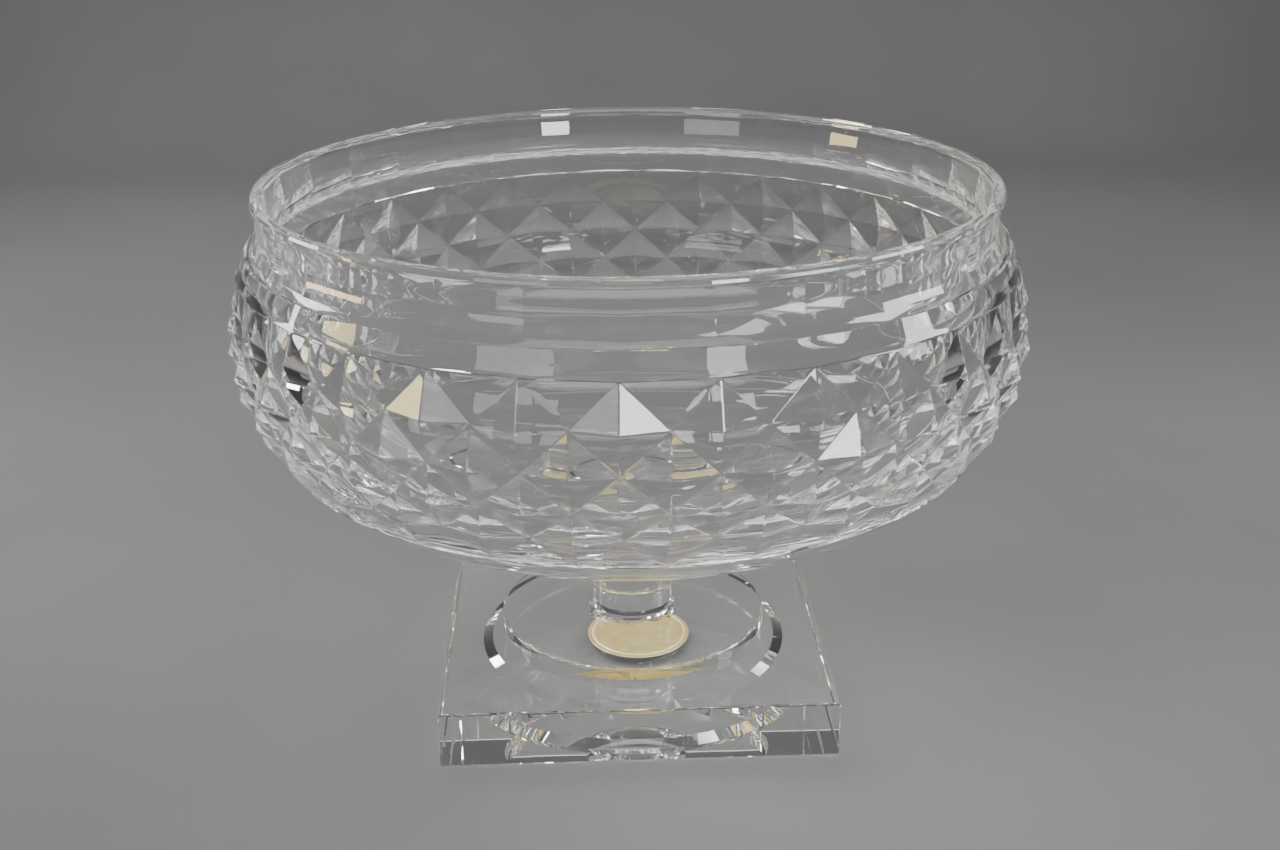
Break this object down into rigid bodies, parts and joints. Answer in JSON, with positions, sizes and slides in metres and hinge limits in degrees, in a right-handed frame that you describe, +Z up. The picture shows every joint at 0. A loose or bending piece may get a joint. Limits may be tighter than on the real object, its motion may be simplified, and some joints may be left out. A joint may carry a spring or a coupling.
{
  "type": "punch bowl",
  "caption": "Footed cut-glass punch bowl: a wide diamond-cut bowl with a panelled neck, on a short stem and a thick square foot with a plain gold foil seal.",
  "frame": {"origin": "centre of the foot's underside, where the bowl's axis meets the table", "axes": "+Z up along the bowl's axis; X and Y along the sides of the square foot"},
  "size_m": [0.3054, 0.3054, 0.21],
  "materials": {
    "bowl_crystal": "clear colourless crystal, wheel-cut and polished",
    "stem_crystal": "clear colourless crystal, fire-polished",
    "foot_crystal": "clear colourless crystal, ground flat and polished",
    "gold_foil": "gold-lacquered foil, plain satin, no print"
  },
  "bodies": {
    "root": {"bowl": "bowl_crystal", "stem": "stem_crystal", "foot": "foot_crystal", "foil_seal": "gold_foil"}
  },
  "joints": []
}
